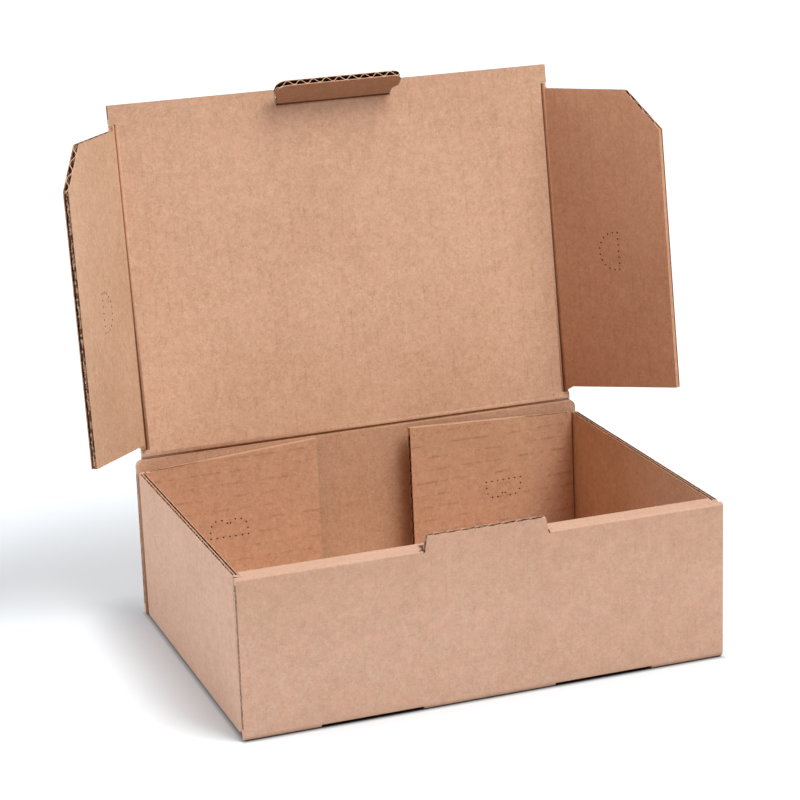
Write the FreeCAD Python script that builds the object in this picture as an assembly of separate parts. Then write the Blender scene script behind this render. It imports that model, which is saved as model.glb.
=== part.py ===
import FreeCAD, Part
import math
import os

# A corrugated mailer box, folded up from one die-cut sheet of single-wall board and standing open.
# Millimetres, +Z up. The origin is the middle of the base's underside, the front faces -Y, and
# +X is to the right of someone who looks at the front.

# Outside sizes of the folded box
LENGTH = 230.0
DEPTH = 168.0
FRONT_HEIGHT = 75.0
SIDE_BACK_DROP = 1.5
HINGE_RISE = 6.0

# The board: two liners with a fluted sheet between them
BOARD = 3.0
LINER = 0.35
MEDIUM = 0.35
FLUTE_PITCH = 6.5
HOLLOW_WIDE_SHARE = 0.79
HOLLOW_TIP_SHARE = 0.17

# Room between boards that lie against each other, and round each crease that still moves
FIT = 0.2
CREASE_GAP = 0.2
CREASE_HALF_ANGLE = 47.5
CREASE_MARGIN = 2.5
FOLD_BACK_BEVEL_DEEP = 1.4
FOLD_BACK_BEVEL_HIGH = 1.3

# The front wall, rolled over the front corner flaps and locked into the base
ROLL_SLACK = 1.0
ROLL_EDGE_RADIUS = 1.2
FRONT_FLAP_LENGTH = 74.0
LOCK_NEAR = 32.0
LOCK_FAR = 79.0
LOCK_ROOM = 0.5
LOCK_TAB_LIFT = 0.3
LOCK_EDGE_LIFT = 1.9

# The lip at the middle of the front, and the slot behind it that takes the tuck tab
LIP_HALF = 29.5
LIP_TAPER = 1.5
LIP_RISE = 6.3
NOTCH_HALF = 30.0

# The back wall and the corner flaps that stand against it
BACK_CORNER_RADIUS = 4.0
BACK_FLAP_GAP = 0.5
BACK_FLAP_SET_IN = 2.2
BACK_FLAP_RISE = 5.2
BACK_FLAP_FOLD_GAP = 0.7
LEFT_BACK_FLAP_LENGTH = 87.0
RIGHT_BACK_FLAP_LENGTH = 90.0
RIGHT_BACK_FLAP_ANGLE = 3.2

# The lid, measured from its hinge at the top of the back wall
LID_ANGLE = 81.4
LID_SIDE_INSET = 3.0
LID_FRONT_BAND = 6.2
LID_FLAP_ROOM = 0.2
LID_FLAP_LENGTH = 69.0
LID_FLAP_NEAR_ROOT = 2.6
LID_FLAP_NEAR_TIP = 6.6
LID_FLAP_NEAR_RELIEF_WIDE = 5.5
LID_FLAP_NEAR_RELIEF_LONG = 2.8
LID_FLAP_FAR_RELIEF_WIDE = 2.0
LID_FLAP_FAR_RELIEF_LONG = 2.6
LID_FLAP_FAR_ROOT_GAP = 9.3
LID_FLAP_FAR_TIP_GAP = 14.8
LID_FLAP_CHAMFER_WIDE = 19.0
LID_FLAP_CHAMFER_LONG = 19.8
LEFT_LID_FLAP_ANGLE = 57.0
RIGHT_LID_FLAP_ANGLE = 59.0
CRUSHED_HOLLOWS = 3

# The tuck tab on the lid's front edge
TAB_ROOM = 0.2
TAB_LENGTH = 18.0
TAB_SIDE_ROOM = 1.1
TAB_NOTCH_ROOM = 0.3
TAB_EAR_GRIP = 1.6
TAB_EAR_RISE = 2.8
TAB_CORNER = 5.0
TAB_ANGLE = 59.0

# Outlines of small cuts through the flaps: two lobes on a flat base in each corner flap, and a round
# with one straight side in each lid flap
PERFORATION_PITCH = 3.1
PERFORATION_WIDE = 1.1
LOBE_RADIUS = 4.9
LOBES_APART = 9.2
LOBES_BASE = 3.9
LOBES_FROM_FOLD = 40.0
LEFT_LOBES_UP = 36.3
RIGHT_LOBES_UP = 37.4
ROUND_RADIUS = 9.3
ROUND_STRAIGHT_AT = 2.0
ROUND_FROM_CREASE = 38.3
ROUND_FROM_HINGE = 74.3

# Places worked out from the sizes above
V = FreeCAD.Vector
OVERSHOOT = 1.0
half_length = LENGTH / 2
half_depth = DEPTH / 2
half_board = BOARD / 2
inner_x = half_length - BOARD
front_fold_y = BOARD - half_depth
back_fold_y = half_depth - BOARD
front_flap_y = front_fold_y + FIT + BOARD
inner_front_y = front_flap_y + ROLL_SLACK
inner_back_y = inner_front_y + BOARD
roof_z = FRONT_HEIGHT - BOARD
floor_z = BOARD + FIT
side_back_z = FRONT_HEIGHT - SIDE_BACK_DROP
back_flap_top_y = back_fold_y - BACK_FLAP_GAP - BOARD
back_flap_foot_y = back_flap_top_y - BACK_FLAP_SET_IN
hinge_y = half_depth - half_board
hinge_z = FRONT_HEIGHT + HINGE_RISE
hinge_clear = half_board + CREASE_GAP
lid_half = half_length - LID_SIDE_INSET
lid_crease_x = inner_x - LID_FLAP_ROOM - half_board
tucked_y = front_fold_y + TAB_ROOM + half_board
tab_crease = hinge_y - tucked_y
lid_reach = tab_crease + LID_FRONT_BAND
tab_root_half = NOTCH_HALF - TAB_SIDE_ROOM
tab_tip_half = NOTCH_HALF + TAB_EAR_GRIP
lid_notch_half = tab_root_half + TAB_NOTCH_ROOM
lid_flap_far_root = lid_reach - LID_FLAP_FAR_ROOT_GAP
lid_flap_far_tip = lid_reach - LID_FLAP_FAR_TIP_GAP


def block(x0, x1, y0, y1, z0, z1):
    """A box between two corners."""
    return Part.makeBox(x1 - x0, y1 - y0, z1 - z0, V(x0, y0, z0))


def prism(corners, sweep):
    """A flat outline pushed along a vector."""
    return Part.Face(Part.makePolygon(corners + corners[:1])).extrude(sweep)


def placed(shape, origin, rotation):
    """A copy of a shape, turned about its own origin and then moved there."""
    copy = shape.copy()
    copy.Placement = FreeCAD.Placement(origin, rotation).multiply(copy.Placement)
    return copy


def mirrored(shape):
    """The same shape on the other side of the box."""
    return shape.mirror(V(0, 0, 0), V(1, 0, 0))


def joined(shapes):
    """One solid from shapes that share faces or overlap."""
    return shapes[0].multiFuse(shapes[1:]).removeSplitter()


def bend(length, origin, along, outward):
    """A quarter-round fold: its centre line is the inner corner, and outward is its first side."""
    quarter = Part.makeCylinder(BOARD, length, V(0, 0, 0), V(0, 0, 1), 90)
    turn = FreeCAD.Rotation(outward, along.cross(outward), along, "ZXY")
    return placed(quarter, origin, turn)


def hollow(x, side, y0, y1):
    """One hollow between the fluted sheet and a liner, along Y. side is +1 for the upper liner."""
    wide = FLUTE_PITCH * HOLLOW_WIDE_SHARE / 2
    tip = FLUTE_PITCH * HOLLOW_TIP_SHARE / 2
    at_liner = side * (half_board - LINER)
    at_tip = -side * (half_board - LINER - MEDIUM)
    corners = [
        V(x - wide, y0, at_liner),
        V(x + wide, y0, at_liner),
        V(x + tip, y0, at_tip),
        V(x - tip, y0, at_tip),
    ]
    return prism(corners, V(0, y1 - y0, 0))


def hollows(raw_edge, stop, y0, y1):
    """The hollows from an edge that is cut along a flute as far as stop, with flutes along Y."""
    step = math.copysign(FLUTE_PITCH / 2, stop - raw_edge)
    reach = (stop - raw_edge - step * HOLLOW_WIDE_SHARE) / step
    count = int(reach + 1.5)
    first = raw_edge - step / 2
    return [hollow(first + i * step, 1 - 2 * (i % 2), y0, y1) for i in range(count)]


def panel(outline):
    """A flat board with this outline in XY, half of its thickness above and half below."""
    return prism([V(x, y, -half_board) for x, y in outline], V(0, 0, BOARD))


def perforation(sides):
    """Small four-sided cuts through a board, evenly along the sides of a flat outline."""
    path = Part.Wire(sides)
    count = round(path.Length / PERFORATION_PITCH)
    half = PERFORATION_WIDE / 2
    cuts = []
    for point in path.discretize(Number=count + 1)[1:]:
        foot = point - V(0, 0, BOARD)
        corners = [foot + V(half, 0, 0), foot + V(0, half, 0), foot - V(half, 0, 0), foot - V(0, half, 0)]
        cuts.append(prism(corners, V(0, 0, 2 * BOARD)))
    return cuts


def crease_bead(start, along, length, radius):
    """A round bar along a crease's axis."""
    return Part.makeCylinder(radius, length, start, along)


def crease_wedge(start, along, length):
    """The room on a crease's inner side that its two boards close up when they fold."""
    high = half_board + OVERSHOOT
    wide = high * math.tan(math.radians(CREASE_HALF_ANGLE))
    across = along.cross(V(0, 0, 1))
    sides = [start + across * wide + V(0, 0, high), start - across * wide + V(0, 0, high)]
    return prism([start] + sides, along * length)


def creased_child(board, start, along, length):
    """A board that turns about a crease: a round edge on the axis, pressed in on the inner side."""
    rounded = board.fuse(crease_bead(start, along, length, half_board)).removeSplitter()
    return rounded.cut(crease_wedge(start, along, length))


def creased_parent(board, start, along, length):
    """The board that carries a crease: hollowed round the turning edge and pressed in."""
    nest = crease_bead(start, along, length, hinge_clear)
    return board.cut([nest, crease_wedge(start, along, length)])


def roll_edge(half_width, edge_y, inner_y):
    """One of the two square corners of the roll over the front's top, its outer edge just rounded."""
    corner = block(-half_width, half_width, min(edge_y, inner_y), max(edge_y, inner_y), roof_z, FRONT_HEIGHT)
    outer = [
        edge
        for edge in corner.Edges
        if edge.BoundBox.XLength > half_width
        and edge.BoundBox.ZMin > roof_z + FIT
        and abs(edge.BoundBox.Center.y - edge_y) < FIT
    ]
    return corner.makeFillet(ROLL_EDGE_RADIUS, outer)


def front_wall():
    """The outer front, its roll over the top, the inner front and the lip."""
    along = V(1, 0, 0)
    panel_half = inner_x - FIT
    outer = block(-half_length, half_length, -half_depth, front_fold_y, BOARD, roof_z)
    foot = bend(LENGTH, V(-half_length, front_fold_y, BOARD), along, V(0, -1, 0))
    outer_roll = roll_edge(half_length, -half_depth, front_fold_y)
    top = block(-panel_half, panel_half, front_fold_y, inner_front_y, roof_z, FRONT_HEIGHT)
    inner_roll = roll_edge(panel_half, inner_back_y, inner_front_y)
    inner = block(-panel_half, panel_half, inner_front_y, inner_back_y, floor_z, roof_z)
    wall = joined([outer, foot, outer_roll, top, inner_roll, inner])
    above = FRONT_HEIGHT + OVERSHOOT
    ahead = -half_depth - OVERSHOOT
    lip_foot = FRONT_HEIGHT - ROLL_EDGE_RADIUS
    wall = wall.cut([
        block(-NOTCH_HALF, NOTCH_HALF, ahead, front_fold_y, lip_foot, above),
        block(-NOTCH_HALF, NOTCH_HALF, front_fold_y, inner_front_y, roof_z, above),
    ])
    lip_top = FRONT_HEIGHT + LIP_RISE
    corners = [
        V(-LIP_HALF, -half_depth, roof_z),
        V(LIP_HALF, -half_depth, roof_z),
        V(LIP_HALF - LIP_TAPER, -half_depth, lip_top),
        V(LIP_TAPER - LIP_HALF, -half_depth, lip_top),
    ]
    return joined([wall, prism(corners, V(0, BOARD, 0))])


def lock_tab():
    """One tab at the foot of the inner front, which goes down through the base."""
    return block(LOCK_NEAR, LOCK_FAR, inner_front_y, inner_back_y, LOCK_TAB_LIFT, floor_z)


def lock_slot():
    """The cut in the base and in the front fold that one lock tab goes down into."""
    x0 = LOCK_NEAR - LOCK_ROOM
    x1 = LOCK_FAR + LOCK_ROOM
    back = inner_back_y + LOCK_ROOM
    ahead = -half_depth - OVERSHOOT
    through_fold = block(x0, x1, ahead, front_fold_y, -OVERSHOOT, LOCK_EDGE_LIFT)
    through_base = block(x0, x1, front_fold_y, back, -OVERSHOOT, BOARD)
    return through_fold.fuse(through_base)


def back_fold_line():
    """The foot and the top of the inner corner about which the right back flap turns."""
    return V(inner_x, back_flap_foot_y, BOARD), V(inner_x, back_flap_top_y, side_back_z)


def right_side_wall():
    """The right wall with its fold to the base, its front corner flap and its back fold."""
    back_foot, back_top = back_fold_line()
    front_foot = V(inner_x, front_flap_y, BOARD)
    front_top = V(inner_x, front_flap_y, FRONT_HEIGHT)
    wall = prism([front_foot, back_foot, back_top, front_top], V(BOARD, 0, 0))
    foot = bend(back_flap_foot_y - front_flap_y, front_foot, V(0, 1, 0), V(1, 0, 0))
    lift = V(0, 0, FIT)
    front_bend = bend(FRONT_HEIGHT - floor_z, front_foot + lift, V(0, 0, 1), V(0, -1, 0))
    flap_end = inner_x - FRONT_FLAP_LENGTH
    flap = block(flap_end, inner_x, front_flap_y - BOARD, front_flap_y, floor_z, roof_z - FIT)
    rise = back_top - back_foot - lift
    length = rise.Length
    back_bend = bend(length, back_foot + lift, rise.normalize(), V(1, 0, 0))
    return joined([wall, foot, front_bend, flap, back_bend])


def back_wall():
    """The back wall, as wide as the box, up to the crease that carries the lid."""
    top = hinge_z - hinge_clear
    wall = block(-half_length, half_length, back_fold_y, half_depth, BOARD, top)
    corners = [
        edge
        for edge in wall.Edges
        if edge.BoundBox.YLength > half_board and edge.BoundBox.ZMin > top - FIT
    ]
    wall = wall.makeFillet(BACK_CORNER_RADIUS, corners)
    bevel = [
        V(-half_length, half_depth - FOLD_BACK_BEVEL_DEEP, top),
        V(-half_length, half_depth + OVERSHOOT, top),
        V(-half_length, half_depth + OVERSHOOT, top - FOLD_BACK_BEVEL_HIGH - OVERSHOOT),
        V(-half_length, half_depth, top - FOLD_BACK_BEVEL_HIGH),
    ]
    wall = wall.cut(prism(bevel, V(LENGTH, 0, 0)))
    foot = bend(LENGTH, V(-half_length, back_fold_y, BOARD), V(1, 0, 0), V(0, 0, -1))
    return joined([wall, foot])


def front_flutes():
    """The hollows of the stretch of front wall that ends in the lip, open along the lip's top."""
    top = FRONT_HEIGHT + LIP_RISE + OVERSHOOT
    runs = hollows(LIP_TAPER - LIP_HALF, LIP_HALF, BOARD + CREASE_MARGIN, top)
    upright = FreeCAD.Rotation(V(1, 0, 0), 90)
    return [placed(run, V(0, half_board - half_depth, 0), upright) for run in runs]


def side_wall_grooves():
    """The hollows laid open along the right wall's top edge, which is cut along a flute."""
    run = back_flap_top_y - front_flap_y
    slope = math.degrees(math.atan2(-SIDE_BACK_DROP, run))
    grooves = hollows(0, FLUTE_PITCH, 0, run)
    on_edge = FreeCAD.Rotation(V(1, 0, 0), slope).multiply(FreeCAD.Rotation(V(0, 1, 0), 90))
    return [placed(g, V(inner_x + half_board, front_flap_y, FRONT_HEIGHT), on_edge) for g in grooves]


def upright_edge_grooves(middle_y):
    """The hollows laid open along a full-width wall's right edge, which is cut along a flute."""
    grooves = hollows(half_length, half_length - FLUTE_PITCH, BOARD + CREASE_MARGIN, roof_z)
    upright = FreeCAD.Rotation(V(1, 0, 0), 90)
    return [placed(g, V(0, middle_y, 0), upright) for g in grooves]


def tray():
    """The part of the sheet that stays put: base, side walls, rolled front and back wall."""
    base = block(-inner_x, inner_x, front_fold_y, back_fold_y, 0, BOARD)
    side = right_side_wall()
    shell = joined([base, side, mirrored(side), back_wall(), front_wall()])
    slot = lock_slot()
    shell = shell.cut([slot, mirrored(slot)])
    grooves = side_wall_grooves()
    for middle_y in (half_board - half_depth, half_depth - half_board):
        grooves += upright_edge_grooves(middle_y)
    grooves += [mirrored(groove) for groove in grooves]
    shell = shell.cut(front_flutes() + grooves)
    tab = lock_tab()
    return joined([shell, tab, mirrored(tab)])


def lobed_outline(up, side):
    """Two lobes on a flat base, for a board whose fold lies along X. side is +1 for lobes upwards."""
    near = LOBES_FROM_FOLD - LOBES_APART / 2
    far = LOBES_FROM_FOLD + LOBES_APART / 2
    dip = V(up + side * math.sqrt(LOBE_RADIUS**2 - (LOBES_APART / 2)**2), LOBES_FROM_FOLD, 0)
    peak = up + side * LOBE_RADIUS
    base = up - side * LOBES_BASE
    start = near - LOBE_RADIUS
    end = far + LOBE_RADIUS
    return [
        Part.makeLine(V(base, start, 0), V(up, start, 0)),
        Part.Arc(V(up, start, 0), V(peak, near, 0), dip).toShape(),
        Part.Arc(dip, V(peak, far, 0), V(up, end, 0)).toShape(),
        Part.makeLine(V(up, end, 0), V(base, end, 0)),
        Part.makeLine(V(base, end, 0), V(base, start, 0)),
    ]


def right_corner_flap(length, swing, outline):
    """The right back corner flap, swung in by an angle in degrees, with its perforated outline."""
    foot, top = back_fold_line()
    height = (top - foot).Length
    up = (top - foot).normalize()
    board = panel([
        (FIT, BACK_FLAP_FOLD_GAP),
        (FIT, length),
        (height + BACK_FLAP_RISE, length),
        (height, BACK_FLAP_FOLD_GAP),
    ])
    runs = hollows(FIT, height + BACK_FLAP_RISE, CREASE_MARGIN, length + OVERSHOOT)
    board = board.cut(runs + perforation(outline))
    away = FreeCAD.Rotation(up, swing).multVec(V(-1, 0, 0))
    inward = up.cross(away)
    turn = FreeCAD.Rotation(up, away, inward, "XYZ")
    return placed(board, foot - inward * half_board, turn)


def lid():
    """The lid in its own plane: X across, Y from the hinge to the front, +Z its inner side."""
    crease_start = LID_FLAP_NEAR_ROOT - CREASE_GAP
    crease_end = lid_flap_far_root + CREASE_GAP
    right = [
        (lid_half, 0),
        (lid_half, crease_start),
        (lid_crease_x, crease_start),
        (lid_crease_x, crease_end),
        (lid_half, crease_end),
        (lid_half, lid_reach),
        (lid_notch_half, lid_reach),
        (lid_notch_half, tab_crease),
    ]
    board = panel(right + [(-x, y) for x, y in reversed(right)])
    hinge = crease_bead(V(-lid_half, 0, 0), V(1, 0, 0), 2 * lid_half, half_board)
    board = board.fuse(hinge).removeSplitter()
    for x in (lid_crease_x, -lid_crease_x):
        start = V(x, crease_start, 0)
        board = creased_parent(board, start, V(0, 1, 0), crease_end - crease_start)
    board = creased_parent(board, V(-lid_notch_half, tab_crease, 0), V(1, 0, 0), 2 * lid_notch_half)
    far = lid_reach + OVERSHOOT
    beside_crease = hollows(lid_half, lid_notch_half, crease_end + CREASE_MARGIN, far)
    full = hollows(lid_half, lid_notch_half, CREASE_MARGIN, far)
    runs = beside_crease[:CRUSHED_HOLLOWS] + full[CRUSHED_HOLLOWS:]
    return board.cut(runs + [mirrored(run) for run in runs])


def round_outline():
    """A round with one straight side towards a lid flap's free edge."""
    middle = V(ROUND_FROM_CREASE, ROUND_FROM_HINGE, 0)
    half = math.sqrt(ROUND_RADIUS**2 - ROUND_STRAIGHT_AT**2)
    near = middle + V(ROUND_STRAIGHT_AT, -half, 0)
    far = middle + V(ROUND_STRAIGHT_AT, half, 0)
    return [
        Part.Arc(near, middle - V(ROUND_RADIUS, 0, 0), far).toShape(),
        Part.makeLine(far, near),
    ]


def lid_flap():
    """The right lid flap, flat, with its crease along Y at X = 0."""
    board = panel([
        (0, LID_FLAP_NEAR_ROOT),
        (LID_FLAP_NEAR_RELIEF_WIDE, LID_FLAP_NEAR_ROOT + LID_FLAP_NEAR_RELIEF_LONG),
        (LID_FLAP_LENGTH, LID_FLAP_NEAR_TIP),
        (LID_FLAP_LENGTH, lid_flap_far_tip - LID_FLAP_CHAMFER_LONG),
        (LID_FLAP_LENGTH - LID_FLAP_CHAMFER_WIDE, lid_flap_far_tip),
        (LID_FLAP_FAR_RELIEF_WIDE, lid_flap_far_root - LID_FLAP_FAR_RELIEF_LONG),
        (0, lid_flap_far_root),
    ])
    crease_length = lid_flap_far_root - LID_FLAP_NEAR_ROOT
    board = creased_child(board, V(0, LID_FLAP_NEAR_ROOT, 0), V(0, 1, 0), crease_length)
    return board.cut(hollows(LID_FLAP_LENGTH, CREASE_MARGIN, 0, lid_reach) + perforation(round_outline()))


def tuck_tab():
    """The tuck tab, flat, with its crease along X at Y = 0."""
    right = [
        (tab_root_half, 0),
        (tab_root_half, LID_FRONT_BAND),
        (tab_tip_half, LID_FRONT_BAND + TAB_EAR_RISE),
        (tab_tip_half, TAB_LENGTH),
    ]
    board = panel(right + [(-x, y) for x, y in reversed(right)])
    ears = [
        edge
        for edge in board.Edges
        if edge.BoundBox.ZLength > half_board and edge.BoundBox.YMin > TAB_LENGTH - FIT
    ]
    board = board.makeFillet(TAB_CORNER, ears)
    start = V(-tab_root_half, 0, 0)
    board = creased_child(board, start, V(1, 0, 0), 2 * tab_root_half)
    far = TAB_LENGTH + OVERSHOOT
    return board.cut(hollows(-tab_tip_half, tab_tip_half + FLUTE_PITCH, CREASE_MARGIN, far))


def on_lid(shape):
    """A shape from the lid's own plane, at the angle where the lid stands open."""
    return placed(shape, V(0, hinge_y, hinge_z), FreeCAD.Rotation(V(1, 0, 0), LID_ANGLE))


def folded_lid_flap(angle):
    """The right lid flap on the lid, folded in by an angle in degrees."""
    return placed(lid_flap(), V(lid_crease_x, 0, 0), FreeCAD.Rotation(V(0, 1, 0), -angle))


def main():
    """Writes each sub-part to its own file."""
    tab_turn = FreeCAD.Rotation(V(1, 0, 0), TAB_ANGLE)
    lobes_up = lobed_outline(LEFT_LOBES_UP, 1)
    lobes_down = lobed_outline(RIGHT_LOBES_UP, -1)
    right_flap = right_corner_flap(RIGHT_BACK_FLAP_LENGTH, RIGHT_BACK_FLAP_ANGLE, lobes_down)
    nodes = {
        "tray": tray(),
        "right_corner_flap": right_flap,
        "left_corner_flap": mirrored(right_corner_flap(LEFT_BACK_FLAP_LENGTH, 0, lobes_up)),
        "lid": on_lid(lid()),
        "right_lid_flap": on_lid(folded_lid_flap(RIGHT_LID_FLAP_ANGLE)),
        "left_lid_flap": on_lid(mirrored(folded_lid_flap(LEFT_LID_FLAP_ANGLE))),
        "tuck_tab": on_lid(placed(tuck_tab(), V(0, tab_crease, 0), tab_turn)),
    }
    os.makedirs("parts", exist_ok=True)
    for name, shape in nodes.items():
        shape.exportStep(f"parts/{name}.step")


main()
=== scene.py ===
import math
from collections import namedtuple

import bmesh
import bpy
from mathutils import Matrix, Vector


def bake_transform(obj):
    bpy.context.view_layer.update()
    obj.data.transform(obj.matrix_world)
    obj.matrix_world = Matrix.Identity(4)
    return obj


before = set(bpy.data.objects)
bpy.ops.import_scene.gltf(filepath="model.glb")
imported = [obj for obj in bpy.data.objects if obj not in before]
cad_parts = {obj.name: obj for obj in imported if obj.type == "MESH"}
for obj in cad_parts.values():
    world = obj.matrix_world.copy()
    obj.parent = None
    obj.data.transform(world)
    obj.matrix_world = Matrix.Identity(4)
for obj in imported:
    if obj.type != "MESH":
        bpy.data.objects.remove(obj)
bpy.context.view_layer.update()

# A corrugated mailer box standing open on a pale floor. Metres, +Z up, front towards -Y.

# The board, and how far from its middle its hollows and its frayed edge reach
BOARD = 0.003
HALF_BOARD = BOARD / 2
FLUTE_PITCH = 0.0065
HOLLOW_HALF = 0.0013
FRAY_HALF = 0.00115

# The lid, measured from its hinge
LID_ANGLE = math.radians(81.4)
LID_TURN = Matrix.Rotation(LID_ANGLE, 3, "X")
HINGE = Vector((0.0, 0.0825, 0.081))
HINGE_CLEAR = 0.0017
BEVEL_HIGH = 0.0013
LID_HALF = 0.112
LID_REACH = 0.168
HOLLOWS_PAST_HINGE = 0.003

# The flaps on the lid's sides, each with a perforated round, and the tab on its front edge
LEFT_FLAP_FOLD = math.radians(57.0)
RIGHT_FLAP_FOLD = math.radians(59.0)
TAB_FOLD = math.radians(59.0)
FLAP_CREASE_X = 0.1103
FLAP_NEAR = 0.0026
FLAP_FAR = 0.1587
LID_FLAP_LENGTH = 0.069
ROUND_OUT = 0.0383
ROUND_ALONG = 0.0743
ROUND_REACH = 0.0105
TAB_CREASE = 0.1618
TAB_ROOT_HALF = 0.0289
HOLLOWS_PAST_FOLD = 0.0025
HOLLOWS_SHORT_OF_EDGE = 0.004

# The corner flaps that lean on the back wall, each with two perforated lobes
SIDE_INNER = 0.112
CORNER_FOLD_Y = 0.0753
CORNER_LEAN = math.atan2(0.0022, 0.0705)
CORNER_SWING = math.radians(3.2)
CORNER_HEIGHT = 0.07055
CORNER_RISE = math.atan2(0.0052, 0.090)
HOLLOWS_UNDER_TOP = 0.0036
LOBES_UP = 0.037
LOBES_OUT = 0.040
LOBES_REACH = 0.013

# The tray's outer faces, and the walls and the lip whose cut edges show their hollows
SIDE_MID = 0.1135
WALL_MID = 0.0825
FOLD_TOP = 0.0035
FOLD_UNDER = 0.0725
FRONT_TOP = 0.0752
SIDE_GROOVE_FLOOR = 0.068
END_GROOVE_FLOOR = 0.1085
LIP_INNER = 0.029
OUTER_X = 0.1146
OUTER_Y = 0.0836
OUTER_Z = 0.001
ROLL_BACK_Y = -0.0733
ROLL_TOP = 0.0742
BELOW_ROLL = (0.045, 0.072)

# The thin strips of liner across the folds, and how far they run onto the boards
LINER_THICK = 0.0002
STRIP_LIFT = 0.00003
STRIP_SINK = 0.00008
STRIP_REACH = HALF_BOARD + STRIP_LIFT
WEDGE_HALF_ANGLE = 47.5
VALLEY_RADIUS = 0.0001
# Where along a strip its pressed stretch begins, darkened partly as crushed paper and partly with painted
# shade
PRESSED_FROM = 0.18
FOLD_STEPS = 8
INNER_RUN = 0.0005
INNER_END = 0.0012
OUTER_RUN_PARENT = (0.0016, 0.0004)
OUTER_END_PARENT = 0.0030
OUTER_RUN_CHILD = 0.0004
OUTER_END_CHILD = 0.0012
HINGE_STEPS = 6
HINGE_RUN = 0.0006
HINGE_END = 0.0018
HINGE_FOOT = 0.0015
HINGE_LEDGE = 0.0003
HINGE_VALLEY = Vector((0.0, -0.0008, -0.0013))
HINGE_ROUND_FROM = Vector((0.0, -0.80, -0.60))
# How far up the hinge's pressed stretch reaches, darkened partly as crushed paper and partly with painted
# shade
HINGE_PRESSED_RISE = 0.0011
HINGE_OUTER_STOPS = (0.33, 0.66)
NOT_PRESSED = 1e-6

# How squarely a surface faces a way, from 0 to 1, to count as turned to it
LEANING = 0.3
FACING_UP = 0.35
FACING = 0.5
SIDEWAYS = 0.7
FACING_OUT = 0.9
FACING_END = 0.95

# The board's colours: its inner and its outer liner, the pressed lines of the flutes, flecks, the painted
# shade in the hollows, a painted highlight on the rolled top and the shade under it
INNER_LIGHT = (0.705, 0.455, 0.312)
INNER_DARK = (0.505, 0.290, 0.174)
OUTER_LIGHT = (0.625, 0.410, 0.306)
OUTER_DARK = (0.482, 0.288, 0.198)
BLUSH = (0.660, 0.370, 0.265)
LINE_DARK = (0.330, 0.155, 0.080)
FLECK = (0.36, 0.18, 0.10)
PALE_FLECK = (0.82, 0.60, 0.46)
HOLLOW_SHADE = (0.100, 0.040, 0.020)
ROLL_TOP_HIGHLIGHT = (0.800, 0.540, 0.400)
SHADOWED = (0.420, 0.235, 0.135)

# What each board's colours are multiplied by, and the lid's at its hinge and at its front: painted light
# and shade, lighter at the hinge and darker towards the front
EVEN = (1.0, 1.0, 1.0)
LID_FOOT_LIGHT_TONE = (1.09, 1.11, 1.14)
LID_HEAD_SHADE_TONE = (0.90, 0.88, 0.90)
WARM_TONE = (1.04, 1.01, 0.98)
# The lid's flaps and tab: painted light on the left flap, painted shade on the right flap, and deeper
# painted shade on the tuck tab
LIT_TONE = (0.90, 0.93, 0.93)
SHADED_TONE = (0.90, 0.75, 0.68)
TAB_SHADE_TONE = (0.56, 0.45, 0.37)
# The folds' pressed valleys: darker partly as crushed paper and partly as painted shade, with deeper
# painted shadow in the tuck tab's fold
PRESSED_SHADE_TONE = (0.46, 0.33, 0.22)
DEEP_SHADOW_TONE = (0.30, 0.18, 0.12)

# How dark the flutes' lines are on each board, and how sharp: higher is thinner
TRAY_LINES = 0.12
LID_LINES = 0.22
CORNER_LINES = 0.42
THIN_LINES = 34.0
WIDE_LINES = 12.0

# How much of the hollows' walls is torn and so stays light
TRAY_TORN = 0.75
FLAP_TORN = 0.8

# The boards on the lid: name, how dark the flutes' lines are, and tone, which paints light on the left
# flap and shade on the right flap and the tab
LID_BOARDS = (("left_lid_flap", 0.15, LIT_TONE),
              ("right_lid_flap", 0.35, SHADED_TONE),
              ("tuck_tab", 0.15, TAB_SHADE_TONE))

# The paper's patterns
Pattern = namedtuple("Pattern", "scale detail roughness")
CLOUD = Pattern(16.0, 3.0, 0.6)
WANDER = Pattern(30.0, 2.0, 0.5)
WARMTH = Pattern(120.0, 2.0, 0.5)
BREAKS = Pattern(130.0, 3.0, 0.7)
MOTTLE = Pattern(210.0, 3.0, 0.6)
SCRAPS = Pattern(420.0, 2.0, 0.6)
GRAIN = Pattern(520.0, 3.0, 0.75)
FRAYS = Pattern(700.0, 3.0, 0.7)
FINE = Pattern(1300.0, 2.0, 0.6)

# Which stretch of a pattern goes from nothing to all, and how much of the colour it then takes
BREAKS_RANGE = (0.44, 0.66)
SCRAPS_RANGE = (0.44, 0.56)
FRAYS_RANGE = (0.58, 0.50)
WARM_RANGE = (0.45, 0.75)
WARM_SHARE = 0.35
FLECK_RANGE = (0.66, 0.78)
FLECK_SHARE = 0.8
PALE_FLECK_RANGE = (0.66, 0.80)
PALE_FLECK_SHARE = 0.7
SHADOWED_SHARE = 0.24
ROLL_TOP_HIGHLIGHT_SHARE = 0.22

# How strongly each pattern darkens the paper, and how high it and the flutes stand
PATTERN_SHADES = ((MOTTLE, 0.75), (CLOUD, 0.8), (GRAIN, 1.3), (FINE, 1.2))
PATTERN_HEIGHTS = ((GRAIN, 0.00007), (MOTTLE, 0.00012), (CLOUD, 0.0006))
WANDER_REACH = 0.0016
RIDGE_HEIGHT = 0.00003
LINE_HEIGHT = -0.00008
BUMP_STRENGTH = 0.7
PAPER_ROUGHNESS = 0.88
PAPER_SPECULAR = 0.18

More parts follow.
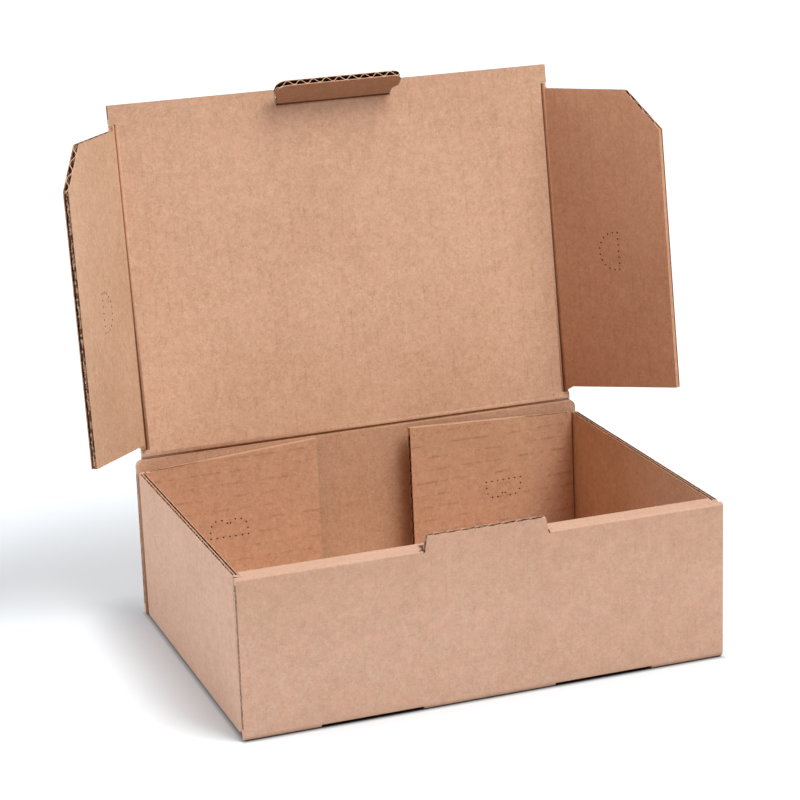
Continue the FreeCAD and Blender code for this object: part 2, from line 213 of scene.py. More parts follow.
# The floor: where it lies, its colour, its painted contact shadow along the box's edges, and its glow,
# which fades out near the box and grows behind it
FLOOR_SIZE = 14.0
FLOOR_BEHIND = 3.0
FLOOR_WHITE = (0.82, 0.88, 0.93)
FLOOR_CONTACT_SHADOW = (0.03, 0.03, 0.035)
FLOOR_CONTACT_SHADOW_RANGE = (-0.0025, 0.0015)
FLOOR_ROUGHNESS = 0.9
FLOOR_SPECULAR = 0.1
FLOOR_GLOW = 0.20
FLOOR_GLOW_RANGE = (-0.002, 0.030)
FLOOR_FAR_GLOW = 0.55
FLOOR_FAR_FROM = 0.3
FLOOR_FAR_TO = 2.4
BOX_HALF_X = 0.115
BOX_HALF_Y = 0.084

# The lamps, each with its place, target, size, power and colour, and the pale surround with a warm side
KEY_LIGHT = ((0.95, -1.25, 2.5), (0, 0, 0.08), 1.5, 78.0, (1.0, 0.985, 0.965))
BACK_FILL = ((-1.55, 0.55, 0.65), (-0.1, 0, 0.05), 1.0, 16.0, (0.84, 0.93, 1.0))
SURROUND = 0.45
SURROUND_PALE = (1.0, 1.0, 1.0)
SURROUND_WARM = (0.55, 0.36, 0.25)
WARM_WAY = (-0.75, -0.60, 0.28)
WARM_WAY_RANGE = (0.25, 0.95)

# The camera, from the photograph
EYE = (-0.39215, -1.07608, 0.46336)
PITCH = math.radians(16.842)
YAW = math.radians(19.624)
ROLL = math.radians(-1.9505)
LENS = 116.44
SENSOR = 36.0
CLIP_END = 40.0


def node(tree, kind, **inputs):
    """A shader node with some of its inputs set."""
    made = tree.nodes.new(kind)
    for name, value in inputs.items():
        made.inputs[name.replace("_", " ")].default_value = value
    return made


def maths(tree, operation, a, b=None, clamp=False):
    """A maths node whose inputs are sockets or numbers."""
    made = tree.nodes.new("ShaderNodeMath")
    made.operation = operation
    made.use_clamp = clamp
    for i, value in enumerate((a, b)):
        if value is None:
            continue
        if isinstance(value, (int, float)):
            made.inputs[i].default_value = value
        else:
            tree.links.new(value, made.inputs[i])
    return made.outputs[0]


def over(tree, value, limit):
    """1 where a value is over a limit."""
    return maths(tree, "GREATER_THAN", value, limit)


def under(tree, value, limit):
    """1 where a value is under a limit."""
    return maths(tree, "LESS_THAN", value, limit)


def size_of(tree, value):
    """A value without its sign."""
    return maths(tree, "ABSOLUTE", value)


def near(tree, value, place, reach):
    """1 where a value is within reach of a place."""
    return under(tree, size_of(tree, maths(tree, "SUBTRACT", value, place)), reach)


def both(tree, *masks):
    """A mask that is 1 where all of these are."""
    result = masks[0]
    for mask in masks[1:]:
        result = maths(tree, "MULTIPLY", result, mask)
    return result


def either(tree, *masks):
    """A mask that is 1 where any of these is."""
    result = masks[0]
    for mask in masks[1:]:
        result = maths(tree, "MAXIMUM", result, mask)
    return result


def ramp(tree, value, low, high):
    """A value spread so that low becomes 0 and high becomes 1, and held there."""
    spread = maths(tree, "SUBTRACT", value, low)
    return maths(tree, "DIVIDE", spread, high - low, clamp=True)


def along_axis(tree, position, axis):
    """How far a point lies along an axis, as a socket."""
    dot = tree.nodes.new("ShaderNodeVectorMath")
    dot.operation = "DOT_PRODUCT"
    tree.links.new(position, dot.inputs[0])
    dot.inputs[1].default_value = axis
    return dot.outputs["Value"]


def split(tree, vector):
    """A vector's three parts, as sockets."""
    parts = tree.nodes.new("ShaderNodeSeparateXYZ")
    tree.links.new(vector, parts.inputs[0])
    return parts.outputs


def noise(tree, position, pattern):
    """A noise texture on the object's own coordinates."""
    made = node(tree, "ShaderNodeTexNoise", Scale=pattern.scale, Detail=pattern.detail,
                Roughness=pattern.roughness)
    tree.links.new(position, made.inputs["Vector"])
    return made.outputs["Fac"]


def mix_colour(tree, factor, a, b):
    """A blend of two colours, each a socket or a fixed colour."""
    made = tree.nodes.new("ShaderNodeMix")
    made.data_type = "RGBA"
    made.clamp_factor = True
    tree.links.new(factor, made.inputs["Factor"])
    for name, value in (("A", a), ("B", b)):
        socket = [s for s in made.inputs if s.name == name and s.type == "RGBA"][0]
        if isinstance(value, tuple):
            socket.default_value = (*value, 1.0)
        else:
            tree.links.new(value, socket)
    return [s for s in made.outputs if s.type == "RGBA"][0]


def tint(tree, colour, mask, share, other):
    """A colour that takes on a share of another one where a mask is 1."""
    return mix_colour(tree, maths(tree, "MULTIPLY", mask, share), colour, other)


def toned(colour, tone):
    """A colour with each of its parts scaled."""
    return tuple(part * share for part, share in zip(colour, tone))


class Sheet:
    """A material in the making, and the flat board that it covers.

    origin is a point midway between the board's liners, and facing is the way its inner side faces.
    The tray has neither, because its walls face several ways.
    """

    def __init__(self, name, origin, facing):
        self.material = bpy.data.materials.new(name)
        self.material.use_nodes = True
        self.tree = self.material.node_tree
        self.tree.nodes.clear()
        coordinates = self.tree.nodes.new("ShaderNodeTexCoord")
        self.position = coordinates.outputs["Object"]
        self.normal = coordinates.outputs["Normal"]
        self.origin = origin
        self.facing = facing

    def along(self, way):
        """How far a point lies along a way."""
        return along_axis(self.tree, self.position, way)

    def turned_to(self, way):
        """How squarely the surface faces a way: 1 is straight at it, -1 straight away."""
        return along_axis(self.tree, self.normal, way)

    def depth(self):
        """How far a point lies from the middle between the liners, towards the inner side."""
        return maths(self.tree, "SUBTRACT", self.along(self.facing), self.origin.dot(self.facing))

    def pattern(self, pattern):
        """One of the paper's patterns."""
        return noise(self.tree, self.position, pattern)


def inside_board(sheet):
    """1 on the walls of the hollows of one flat board, which lie between its two liners."""
    tree = sheet.tree
    leaning = over(tree, size_of(tree, sheet.turned_to(sheet.facing)), LEANING)
    return both(tree, near(tree, sheet.depth(), 0.0, HOLLOW_HALF), leaning)


def inside_tray(sheet):
    """1 on the walls of the hollows that the tray's cut edges lay open."""
    tree = sheet.tree
    x, y, z = split(tree, sheet.position)
    facing = split(tree, sheet.normal)
    side = both(tree, near(tree, size_of(tree, x), SIDE_MID, HOLLOW_HALF),
                over(tree, size_of(tree, facing[0]), LEANING),
                over(tree, z, SIDE_GROOVE_FLOOR), under(tree, z, FRONT_TOP))
    wall = both(tree, near(tree, size_of(tree, y), WALL_MID, HOLLOW_HALF),
                over(tree, size_of(tree, facing[1]), LEANING))
    end = both(tree, wall, over(tree, size_of(tree, x), END_GROOVE_FLOOR),
               under(tree, z, FOLD_UNDER), over(tree, z, FOLD_TOP))
    lip = both(tree, wall, over(tree, z, FRONT_TOP), under(tree, size_of(tree, x), LIP_INNER))
    return either(tree, side, end, lip)


def outside_tray(sheet):
    """1 on the liner that ends up outside, which the rolled front carries over and in."""
    tree = sheet.tree
    x, y, z = split(tree, sheet.position)
    return either(tree, over(tree, size_of(tree, x), OUTER_X), over(tree, size_of(tree, y), OUTER_Y),
                  under(tree, z, OUTER_Z), under(tree, y, ROLL_BACK_Y))


def across_flutes(sheet, across):
    """Where a point lies across the flutes. On the tray's side walls they lie above each other."""
    tree = sheet.tree
    place = sheet.along(across)
    if sheet.facing is not None:
        return place
    is_side = over(tree, size_of(tree, sheet.turned_to((1, 0, 0))), SIDEWAYS)
    elsewhere = maths(tree, "MULTIPLY", place, maths(tree, "SUBTRACT", 1.0, is_side))
    return maths(tree, "ADD", elsewhere, maths(tree, "MULTIPLY", sheet.along((0, 0, 1)), is_side))


def flute_lines(sheet, across, sharp):
    """The flutes' soft ridges, and the thin broken lines that they press into the liner."""
    tree = sheet.tree
    wander = maths(tree, "MULTIPLY", sheet.pattern(WANDER), WANDER_REACH)
    place = maths(tree, "ADD", across_flutes(sheet, across), wander)
    wave = maths(tree, "COSINE", maths(tree, "MULTIPLY", place, 2 * math.pi / FLUTE_PITCH))
    ridge = maths(tree, "MULTIPLY", maths(tree, "ADD", wave, 1.0), 0.5)
    thin = maths(tree, "POWER", ridge, sharp)
    return ridge, both(tree, thin, ramp(tree, sheet.pattern(BREAKS), *BREAKS_RANGE))


def darkness(tree, layers):
    """How far the paper goes from its light to its dark colour."""
    share = 0.5
    for pattern, strength in PATTERN_SHADES:
        swing = maths(tree, "MULTIPLY", maths(tree, "SUBTRACT", layers[pattern], 0.5), strength)
        share = maths(tree, "ADD", swing, share)
    return ramp(tree, share, 0.0, 1.0)


def inner_paper(tree, share, tone):
    """The inner liner's colour at one tone."""
    return mix_colour(tree, share, toned(INNER_LIGHT, tone), toned(INNER_DARK, tone))


def inner_liner(sheet, share, tone, fade):
    """The inner liner: one tone on its face, such as the lid flaps' painted light and shade, or a painted
    change from lighter at the lid's hinge to darker at its front.
    """
    tree = sheet.tree
    if fade is not None:
        way, start, end = fade
        forward = ramp(tree, sheet.along(way), start, end)
        return mix_colour(tree, forward, inner_paper(tree, share, LID_FOOT_LIGHT_TONE),
                          inner_paper(tree, share, LID_HEAD_SHADE_TONE))
    plain_paper = inner_paper(tree, share, EVEN)
    if tone == EVEN:
        return plain_paper
    # The tone, such as a lid flap's painted light and shade, goes on the inner face alone
    is_face = over(tree, sheet.turned_to(sheet.facing), FACING)
    return mix_colour(tree, is_face, plain_paper, inner_paper(tree, share, tone))


def rolled_front(sheet, colour, is_outer):
    """The front's colour: darker in the shade under its rolled top, and a painted highlight on the roll's
    upward-facing top.
    """
    tree = sheet.tree
    up = split(tree, sheet.position)[2]
    facing = split(tree, sheet.normal)
    shade = both(tree, ramp(tree, up, *BELOW_ROLL), over(tree, size_of(tree, facing[1]), FACING_OUT),
                 is_outer)
    colour = tint(tree, colour, shade, SHADOWED_SHARE, SHADOWED)
    # Painted highlight: the roll's top, which faces up, made paler as the light from above falls on it
    lit_roll_top = both(tree, over(tree, up, ROLL_TOP), over(tree, facing[2], FACING_UP))
    return tint(tree, colour, lit_roll_top, ROLL_TOP_HIGHLIGHT_SHARE, ROLL_TOP_HIGHLIGHT)


def liners(sheet, share, tone, fade):
    """The colours of both liners, each on its own side of the board."""
    tree = sheet.tree
    inner = inner_liner(sheet, share, tone, fade)
    outer = mix_colour(tree, share, OUTER_LIGHT, OUTER_DARK)
    if sheet.facing is None:
        is_outer = outside_tray(sheet)
        outer = rolled_front(sheet, outer, is_outer)
    else:
        is_outer = under(tree, sheet.turned_to(sheet.facing), -FACING)
    return mix_colour(tree, is_outer, inner, outer)


def marked(sheet, colour, layers, broken, lines, tone):
    """A paper's colour with its warm patches, the flutes' lines, and its dark and pale flecks."""
    tree = sheet.tree
    warm = ramp(tree, sheet.pattern(WARMTH), *WARM_RANGE)
    colour = tint(tree, colour, warm, WARM_SHARE, toned(BLUSH, tone))
    colour = tint(tree, colour, broken, lines, LINE_DARK)
    colour = tint(tree, colour, ramp(tree, layers[FINE], *FLECK_RANGE), FLECK_SHARE, FLECK)
    pale = ramp(tree, layers[GRAIN], *PALE_FLECK_RANGE)
    return tint(tree, colour, pale, PALE_FLECK_SHARE, toned(PALE_FLECK, tone))


def hollowed(sheet, colour, torn, limits):
    """A colour with painted shade in the hollows within some limits, apart from their torn scraps."""
    tree = sheet.tree
    hollow_shade_mask = inside_tray(sheet) if sheet.facing is None else inside_board(sheet)
    for way, limit in limits:
        hollow_shade_mask = both(tree, hollow_shade_mask, under(tree, sheet.along(way), limit))
    if torn:
        scraps = maths(tree, "MULTIPLY", ramp(tree, sheet.pattern(SCRAPS), *SCRAPS_RANGE), torn)
        hollow_shade_mask = both(tree, hollow_shade_mask, maths(tree, "SUBTRACT", 1.0, scraps))
    return mix_colour(tree, hollow_shade_mask, colour, HOLLOW_SHADE)


def pricked_through(sheet, colour, centre, radius):
    """A colour with painted shade on the walls of the small cuts round a centre."""
    tree = sheet.tree
    offset = tree.nodes.new("ShaderNodeVectorMath")
    offset.operation = "DISTANCE"
    tree.links.new(sheet.position, offset.inputs[0])
    offset.inputs[1].default_value = centre
    close = under(tree, offset.outputs["Value"], radius)
    wall = under(tree, size_of(tree, sheet.turned_to(sheet.facing)), FACING)
    return mix_colour(tree, both(tree, close, wall), colour, HOLLOW_SHADE)


def shaded_frayed_edge(sheet, colour, way):
    """A colour with dark spots on a lid flap's free edge, which faces the way given: partly its rough,
    frayed cut and partly painted shade in the openings between its liners.
    """
    tree = sheet.tree
    end = both(tree, near(tree, sheet.depth(), 0.0, FRAY_HALF),
               over(tree, sheet.turned_to(way), FACING_END),
               over(tree, sheet.along(way), way.dot(sheet.origin) + LID_FLAP_LENGTH - BOARD))
    spots = ramp(tree, sheet.pattern(FRAYS), *FRAYS_RANGE)
    return mix_colour(tree, both(tree, end, spots), colour, HOLLOW_SHADE)


def paper_height(tree, layers, ridge, broken):
    """How high the paper's skin stands over its flat shape."""
    height = maths(tree, "MULTIPLY", ridge, RIDGE_HEIGHT)
    for pattern, strength in PATTERN_HEIGHTS:
        height = maths(tree, "ADD", height, maths(tree, "MULTIPLY", layers[pattern], strength))
    return maths(tree, "ADD", height, maths(tree, "MULTIPLY", broken, LINE_HEIGHT))


def papered(sheet, colour, height):
    """The finished material: dull paper with a colour and a fine relief."""
    tree = sheet.tree
    bump = node(tree, "ShaderNodeBump", Strength=BUMP_STRENGTH, Distance=1.0)
    tree.links.new(height, bump.inputs["Height"])
    shader = node(tree, "ShaderNodeBsdfPrincipled", Roughness=PAPER_ROUGHNESS)
    shader.inputs["Specular IOR Level"].default_value = PAPER_SPECULAR
    tree.links.new(colour, shader.inputs["Base Color"])
    tree.links.new(bump.outputs["Normal"], shader.inputs["Normal"])
    output = tree.nodes.new("ShaderNodeOutputMaterial")
    tree.links.new(shader.outputs["BSDF"], output.inputs["Surface"])
    return sheet.material


def kraft(name, across, origin=None, facing=None, lines=0.0, tone=EVEN, torn=0.0, limits=(),
          hollow=True, sharp=THIN_LINES, frayed=None, pricked=None, fade=None):
    """Kraft liner over flutes.

    across is the direction across the flutes, lines is how dark they show, and sharp how thin.
    torn is the share of the hollows' walls that stays light, and limits bound the hollows' painted shade.
    frayed is the way that a frayed edge faces, pricked is the middle and reach of some small cuts, both
    with painted shade in their openings, and fade is a painted change from lighter at the lid's hinge to
    darker at its front.
    """
    sheet = Sheet(name, origin, facing)
    tree = sheet.tree
    ridge, broken = flute_lines(sheet, across, sharp)
    layers = {pattern: sheet.pattern(pattern) for pattern, strength in PATTERN_SHADES}
    colour = liners(sheet, darkness(tree, layers), tone, fade)
    colour = marked(sheet, colour, layers, broken, lines, tone)
    if hollow:
        colour = hollowed(sheet, colour, torn, limits)
    if pricked is not None:
        colour = pricked_through(sheet, colour, *pricked)
    if frayed is not None:
        colour = shaded_frayed_edge(sheet, colour, frayed)
    return papered(sheet, colour, paper_height(tree, layers, ridge, broken))


def past(way, point, distance):
    """The limit that keeps only what lies beyond a distance past a point."""
    return -way, -way.dot(point) - distance


def short_of(way, point, distance):
    """The limit that keeps only what lies short of a distance past a point."""
    return way, way.dot(point) + distance


def lid_vector(x, y, z):
    """A direction given in the lid's own frame: across, from the hinge to the front, inner side."""
    return LID_TURN @ Vector((x, y, z))


class Crease:
    """A fold that moves: where it is, how long, and how each board leaves it and faces inwards."""

    def __init__(self, origin, along, length, parent, child):
        self.origin = origin
        self.along = along
        self.length = length
        self.parent_way, self.parent_in = parent
        self.child_way, self.child_in = child


def flap_crease(side, fold):
    """The fold of the flap on one side of the lid."""
    way = lid_vector(side * math.cos(fold), 0.0, math.sin(fold))
    inner = lid_vector(-side * math.sin(fold), 0.0, math.cos(fold))
    start = HINGE + lid_vector(side * FLAP_CREASE_X, FLAP_NEAR, 0.0)
    return Crease(start, lid_vector(0, 1, 0), FLAP_FAR - FLAP_NEAR,
                  (lid_vector(-side, 0, 0), lid_vector(0, 0, 1)), (way, inner))


def tab_crease():
    """The fold of the tuck tab on the lid's front edge."""
    way = lid_vector(0.0, math.cos(TAB_FOLD), math.sin(TAB_FOLD))
    inner = lid_vector(0.0, -math.sin(TAB_FOLD), math.cos(TAB_FOLD))
    start = HINGE + lid_vector(-TAB_ROOT_HALF, TAB_CREASE, 0.0)
    return Crease(start, lid_vector(1, 0, 0), 2 * TAB_ROOT_HALF,
                  (lid_vector(0, -1, 0), lid_vector(0, 0, 1)), (way, inner))


def creases():
    """The three folds on the lid, by the name of the board that turns."""
    return {"left_lid_flap": flap_crease(-1, LEFT_FLAP_FOLD),
            "right_lid_flap": flap_crease(1, RIGHT_FLAP_FOLD),
            "tuck_tab": tab_crease()}


def corner_flap_board(name, side, swing):
    """The board of one corner flap, whose flutes lie above each other."""
    up = Vector((0.0, math.sin(CORNER_LEAN), math.cos(CORNER_LEAN)))
    upright = Vector((0.0, -math.cos(CORNER_LEAN), math.sin(CORNER_LEAN)))
    inner = Matrix.Rotation(side * swing, 3, up) @ upright
    foot = Vector((side * SIDE_INNER, CORNER_FOLD_Y, BOARD))
    away = up.cross(inner) * side
    if away.x * side > 0:
        away = -away
    slope = (up * math.cos(CORNER_RISE) - away * math.sin(CORNER_RISE)).normalized()
    limits = (short_of(slope, foot + up * CORNER_HEIGHT, -HOLLOWS_UNDER_TOP),)
    lobes = foot + up * LOBES_UP - away * LOBES_OUT
    return kraft("kraft_" + name, up, foot - inner * HALF_BOARD, inner, CORNER_LINES, WARM_TONE,
                 limits=limits, sharp=WIDE_LINES, pricked=(lobes, LOBES_REACH))


def lid_flap_board(name, fold, lines, tone):
    """The board of one lid flap, with its cut edges and its perforated round."""
    limits = [past(fold.child_way, fold.origin, HOLLOWS_PAST_FOLD)]
    if name == "right_lid_flap":
        limits.append(short_of(fold.child_way, fold.origin, LID_FLAP_LENGTH - HOLLOWS_SHORT_OF_EDGE))
    middle = fold.origin + fold.child_way * ROUND_OUT + fold.along * (ROUND_ALONG - FLAP_NEAR)
    frayed = fold.child_way if name == "left_lid_flap" else None
    return kraft("kraft_" + name, fold.child_way, fold.origin, fold.child_in, lines, tone, FLAP_TORN,
                 limits, frayed=frayed, pricked=(middle, ROUND_REACH))


def tab_board(name, fold, lines, tone):
    """The board of the tuck tab."""
    limits = (past(fold.child_way, fold.origin, HOLLOWS_PAST_FOLD),)
    return kraft("kraft_" + name, (1, 0, 0), fold.origin, fold.child_in, lines, tone, limits=limits)


def lid_light_fade():
    """The stretch over which the lid's colour goes from painted light at its hinge to painted shade at
    its front.
    """
    way = lid_vector(0, 1, 0)
    start = way.dot(HINGE)
    return way, start, start + LID_REACH


def dress(folds):
    """Gives each CAD piece its board."""
    lid_in = lid_vector(0, 0, 1)
    lid_limits = (past(lid_vector(0, 1, 0), HINGE, HOLLOWS_PAST_HINGE),)
    looks = {
        "tray": kraft("kraft_tray", (1, 0, 0), lines=TRAY_LINES, torn=TRAY_TORN),
        "lid": kraft("kraft_lid", (1, 0, 0), HINGE, lid_in, LID_LINES, limits=lid_limits,
                     fade=lid_light_fade()),
        "left_corner_flap": corner_flap_board("left_corner_flap", -1, 0.0),
        "right_corner_flap": corner_flap_board("right_corner_flap", 1, CORNER_SWING),
    }
    for name, lines, tone in LID_BOARDS:
        board = tab_board if name == "tuck_tab" else lid_flap_board
        looks[name] = board(name, folds[name], lines, tone)
    for name, material in looks.items():
        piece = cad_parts[name]
        piece.data.materials.clear()
        piece.data.materials.append(material)


def strip_boards(folds):
    """The looks of the strips at each fold: on the parent, in the pressed middle, on the child. The
    pressed middle is darker, partly as crushed paper and partly as painted shade in the valley, with
    deeper painted shadow in the tab's fold.
    """
    lid_in = lid_vector(0, 0, 1)
    flat = kraft("kraft_fold", (1, 0, 0), HINGE, lid_in, hollow=False, fade=lid_light_fade())
    pressed = kraft("kraft_crease_shade", (1, 0, 0), HINGE, lid_in, tone=PRESSED_SHADE_TONE, hollow=False)
    deep = kraft("kraft_crease_shadow_deep", (1, 0, 0), HINGE, lid_in, tone=DEEP_SHADOW_TONE, hollow=False)
    looks = {"lid": (flat, pressed, flat)}
    for name, _, tone in LID_BOARDS:
        fold = folds[name]
        child = kraft("kraft_fold_" + name, (1, 0, 0), fold.origin, fold.child_in, tone=tone,
                      hollow=False)
        looks[name] = (flat, deep if name == "tuck_tab" else pressed, child)
    return looks


def swept(path, along, length):
    """The corners and faces of a thin sheet that follows a path and is swept along a fold."""
    corners = []
    for reach in (0.0, length):
        for side in (0, 1):
            for i, point in enumerate(path):
                before = path[max(i - 1, 0)]
                after = path[min(i + 1, len(path) - 1)]
                outward = along.cross(after - before).normalized()
                corners.append(point + along * reach - outward * (LINER_THICK * side))
    count = len(path)
    faces = []
    for side in (0, 1):
        low = side * count
        high = low + 2 * count
        for i in range(count - 1):
            quad = (low + i, low + i + 1, high + i + 1, high + i)
            faces.append(quad if side == 0 else quad[::-1])
    for end in (0, 1):
        base = 2 * count * end
        for i in range(count - 1):
            quad = (base + i, base + count + i, base + count + i + 1, base + i + 1)
            faces.append(quad if end == 0 else quad[::-1])
    for i in (0, count - 1):
        quad = (i, 2 * count + i, 3 * count + i, count + i)
        faces.append(quad if i == 0 else quad[::-1])
    return corners, faces


def even_normals(mesh):
    """Turns all of a mesh's faces outwards and shades them smooth."""
    shape = bmesh.new()
    shape.from_mesh(mesh)
    bmesh.ops.recalc_face_normals(shape, faces=shape.faces)
    shape.to_mesh(mesh)
    shape.free()
    for face in mesh.polygons:
        face.use_smooth = True


def pick_looks(mesh, looks, pressed):
    """Gives a strip its three looks: before, along and past its pressed stretch, which is darker with
    crushed paper and painted shade.
    """
    low, high = pressed
    for face in mesh.polygons:
        middle = sum((mesh.vertices[i].co.copy() for i in face.vertices), Vector()) / len(face.vertices)
        reach = (middle - low).dot((high - low).normalized())
        face.material_index = 0 if reach < 0 else 1 if reach < (high - low).length else 2
    for look in looks:
        mesh.materials.append(look)


def strip(name, path, along, length, looks, body_a, body_b, start, end, outside, pressed):
    """A thin sheet of liner along a path across a fold, with its shown face turned to outside."""
    if along.cross(path[-1] - path[0]).dot(outside) < 0:
        path = path[::-1]
        body_a, body_b, start, end = body_b, body_a, end, start
        pressed = pressed[::-1]
        looks = looks[::-1]
    corners, faces = swept(path, along, length)
    mesh = bpy.data.meshes.new(name)
    mesh.from_pydata([tuple(corner) for corner in corners], [], faces)
    mesh.update()
    made = bpy.data.objects.new(name, mesh)
    bpy.context.scene.collection.objects.link(made)
    even_normals(mesh)
    pick_looks(mesh, looks, pressed)
    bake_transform(made)


def turned(vector, axis, angle):
    """A vector turned about an axis."""
    return Matrix.Rotation(angle, 3, axis) @ vector


def bridge_fold_inside(name, fold, looks):
    """The inner liner across a fold of the lid, pressed into a valley."""
    wide = HALF_BOARD * math.tan(math.radians(WEDGE_HALF_ANGLE))
    a = fold.origin + fold.parent_way * wide + fold.parent_in * STRIP_REACH
    b = fold.origin + fold.child_way * wide + fold.child_in * STRIP_REACH
    inward = fold.parent_in + fold.child_in
    bottom = fold.origin + inward.normalized() * VALLEY_RADIUS
    path = [a + fold.parent_way * INNER_END - fold.parent_in * STRIP_SINK,
            a + fold.parent_way * INNER_RUN]
    for i in range(FOLD_STEPS + 1):
        t = i / FOLD_STEPS
        path.append(a * (1 - t) ** 2 + bottom * (2 * t * (1 - t)) + b * t ** 2)
    path += [b + fold.child_way * INNER_RUN, b + fold.child_way * INNER_END - fold.child_in * STRIP_SINK]
    pressed = (a.lerp(b, PRESSED_FROM), a.lerp(b, 1 - PRESSED_FROM))
    strip(name + "_fold_inner_liner", path, fold.along, fold.length, looks, "lid", name, a, b,
          inward, pressed)


def bridge_fold_outside(name, fold, looks):
    """The outer liner across a fold of the lid, stretched round it."""
    centre = fold.origin
    out_a = -fold.parent_in
    out_b = -fold.child_in
    angle = out_a.angle(out_b)
    axis = out_a.cross(out_b).normalized()
    path = [centre + out_a * (STRIP_REACH - STRIP_SINK) + fold.parent_way * OUTER_END_PARENT]
    path += [centre + out_a * STRIP_REACH + fold.parent_way * run for run in OUTER_RUN_PARENT]
    for i in range(FOLD_STEPS + 1):
        path.append(centre + turned(out_a, axis, angle * i / FOLD_STEPS) * STRIP_REACH)
    path += [centre + out_b * STRIP_REACH + fold.child_way * OUTER_RUN_CHILD,
             centre + out_b * (STRIP_REACH - STRIP_SINK) + fold.child_way * OUTER_END_CHILD]
    strip(name + "_fold_outer_liner", path, fold.along, fold.length, looks, "lid", name,
          centre + out_a * STRIP_REACH, centre + out_b * STRIP_REACH, out_a + out_b,
          (centre, centre + fold.along * NOT_PRESSED))


def bridge_hinge_inside(looks):
    """The inner liner across the lid's hinge, pressed into a valley."""
    along = Vector((1, 0, 0))
    inner = lid_vector(0, 0, 1)
    way = lid_vector(0, 1, 0)
    hinge = HINGE - along * LID_HALF
    wall = Vector((-LID_HALF, HINGE.y - STRIP_REACH, HINGE.z - HINGE_CLEAR))
    path = [wall - Vector((0, -STRIP_SINK, HINGE_FOOT)), wall - Vector((0, 0, HINGE_LEDGE)),
            hinge + HINGE_VALLEY]
    for i in range(HINGE_STEPS + 1):
        path.append(hinge + HINGE_ROUND_FROM.lerp(inner, i / HINGE_STEPS).normalized() * STRIP_REACH)
    top = hinge + inner * STRIP_REACH
    path += [top + way * HINGE_RUN, hinge + inner * (STRIP_REACH - STRIP_SINK) + way * HINGE_END]
    rise = Vector((0, 0, 1))
    strip("lid_hinge_inner_liner", path, along, 2 * LID_HALF, looks, "tray", "lid", wall, top,
          inner, (wall - rise * HINGE_LEDGE, wall + rise * HINGE_PRESSED_RISE))


def bridge_hinge_outside(looks):
    """The outer liner across the lid's hinge, a flat run from the wall to the lid."""
    along = Vector((1, 0, 0))
    inner = lid_vector(0, 0, 1)
    way = lid_vector(0, 1, 0)
    hinge = HINGE - along * LID_HALF
    wall = Vector((-LID_HALF, HINGE.y + STRIP_REACH, HINGE.z - HINGE_CLEAR - BEVEL_HIGH))
    top = hinge - inner * STRIP_REACH
    path = [wall - Vector((0, STRIP_SINK, HINGE_FOOT)), wall]
    path += [wall.lerp(top, share) for share in HINGE_OUTER_STOPS]
    path += [top, top + way * HINGE_RUN, hinge - inner * (STRIP_REACH - STRIP_SINK) + way * HINGE_END]
    strip("lid_hinge_outer_liner", path, along, 2 * LID_HALF, looks, "tray", "lid", wall, top,
          -inner, (wall, wall + along * NOT_PRESSED))


def floor_material():
    """Pale and dull, with a painted contact shadow where the box stands on it, a glow that fades out near
    the box, and glowing more the further it is behind.
    """
    material = bpy.data.materials.new("floor_white")
    material.use_nodes = True
    tree = material.node_tree
    shader = tree.nodes["Principled BSDF"]
    shader.inputs["Roughness"].default_value = FLOOR_ROUGHNESS
    shader.inputs["Specular IOR Level"].default_value = FLOOR_SPECULAR
    shader.inputs["Emission Color"].default_value = (1.0, 1.0, 1.0, 1.0)
    x, y, _ = split(tree, tree.nodes.new("ShaderNodeTexCoord").outputs["Object"])
    far = ramp(tree, y, FLOOR_FAR_FROM - FLOOR_BEHIND, FLOOR_FAR_TO - FLOOR_BEHIND)
    glow = maths(tree, "ADD", maths(tree, "MULTIPLY", far, FLOOR_FAR_GLOW), FLOOR_GLOW)
    beyond_x = maths(tree, "SUBTRACT", size_of(tree, x), BOX_HALF_X)
    from_middle = size_of(tree, maths(tree, "ADD", y, FLOOR_BEHIND))
    beyond_y = maths(tree, "SUBTRACT", from_middle, BOX_HALF_Y)
    beyond = maths(tree, "MAXIMUM", beyond_x, beyond_y)
    # The glow fades out near the box, leaving painted shade round its foot
    glow = both(tree, glow, ramp(tree, beyond, *FLOOR_GLOW_RANGE))
    tree.links.new(glow, shader.inputs["Emission Strength"])
    # Painted contact shadow: the floor nearly black under the box and just past its edges
    clear = ramp(tree, beyond, *FLOOR_CONTACT_SHADOW_RANGE)
    tree.links.new(mix_colour(tree, clear, FLOOR_CONTACT_SHADOW, FLOOR_WHITE), shader.inputs["Base Color"])
    return material


def floor():
    """A pale floor that fills the picture."""
    bpy.ops.mesh.primitive_plane_add(size=FLOOR_SIZE, location=(0, FLOOR_BEHIND, 0))
    plane = bpy.context.object
    plane.name = "floor"
    plane.data.materials.append(floor_material())


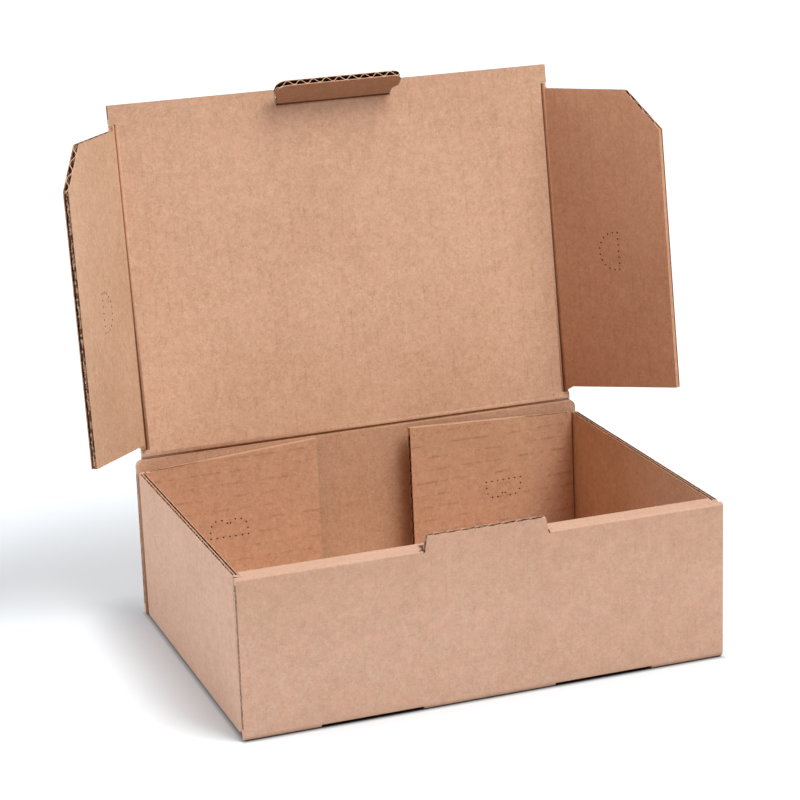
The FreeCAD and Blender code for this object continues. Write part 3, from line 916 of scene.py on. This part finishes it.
def area_light(name, place, target, size, power, colour):
    """A soft square light that faces a point."""
    data = bpy.data.lights.new(name, "AREA")
    data.shape = "SQUARE"
    data.size = size
    data.energy = power
    data.color = colour
    lamp = bpy.data.objects.new(name, data)
    bpy.context.scene.collection.objects.link(lamp)
    lamp.location = place
    direction = Vector(target) - Vector(place)
    lamp.rotation_euler = direction.to_track_quat("-Z", "Y").to_euler()


def surround():
    """A pale surround, with a warm side towards the front left."""
    world = bpy.data.worlds.new("surround")
    world.use_nodes = True
    tree = world.node_tree
    back = tree.nodes["Background"]
    back.inputs["Strength"].default_value = SURROUND
    view = tree.nodes.new("ShaderNodeTexCoord").outputs["Generated"]
    warm = ramp(tree, along_axis(tree, view, WARM_WAY), *WARM_WAY_RANGE)
    tree.links.new(mix_colour(tree, warm, SURROUND_PALE, SURROUND_WARM), back.inputs["Color"])
    bpy.context.scene.world = world


def lights():
    """A large soft key from the upper right, a cool low fill from behind the left, and the surround."""
    area_light("key", *KEY_LIGHT)
    area_light("back_fill", *BACK_FILL)
    surround()


def camera():
    """The photograph's point of view."""
    forward = Vector((math.sin(YAW) * math.cos(PITCH), math.cos(YAW) * math.cos(PITCH), -math.sin(PITCH)))
    right = Vector((math.cos(YAW), -math.sin(YAW), 0.0))
    up = right.cross(forward)
    rolled_right = right * math.cos(ROLL) + up * math.sin(ROLL)
    rolled_up = up * math.cos(ROLL) - right * math.sin(ROLL)
    data = bpy.data.cameras.new("camera")
    data.lens = LENS
    data.sensor_width = SENSOR
    data.clip_end = CLIP_END
    eye = bpy.data.objects.new("camera", data)
    turn = Matrix((rolled_right, rolled_up, -forward)).transposed()
    eye.matrix_world = Matrix.Translation(EYE) @ turn.to_4x4()
    bpy.context.scene.collection.objects.link(eye)
    bpy.context.scene.camera = eye


lid_folds = creases()
dress(lid_folds)
strip_looks = strip_boards(lid_folds)
bridge_hinge_inside(strip_looks["lid"])
bridge_hinge_outside(strip_looks["lid"])
for flap, flap_fold in lid_folds.items():
    bridge_fold_inside(flap, flap_fold, strip_looks[flap])
    bridge_fold_outside(flap, flap_fold, strip_looks[flap])
floor()
lights()
camera()
bpy.context.scene.view_settings.view_transform = "Standard"
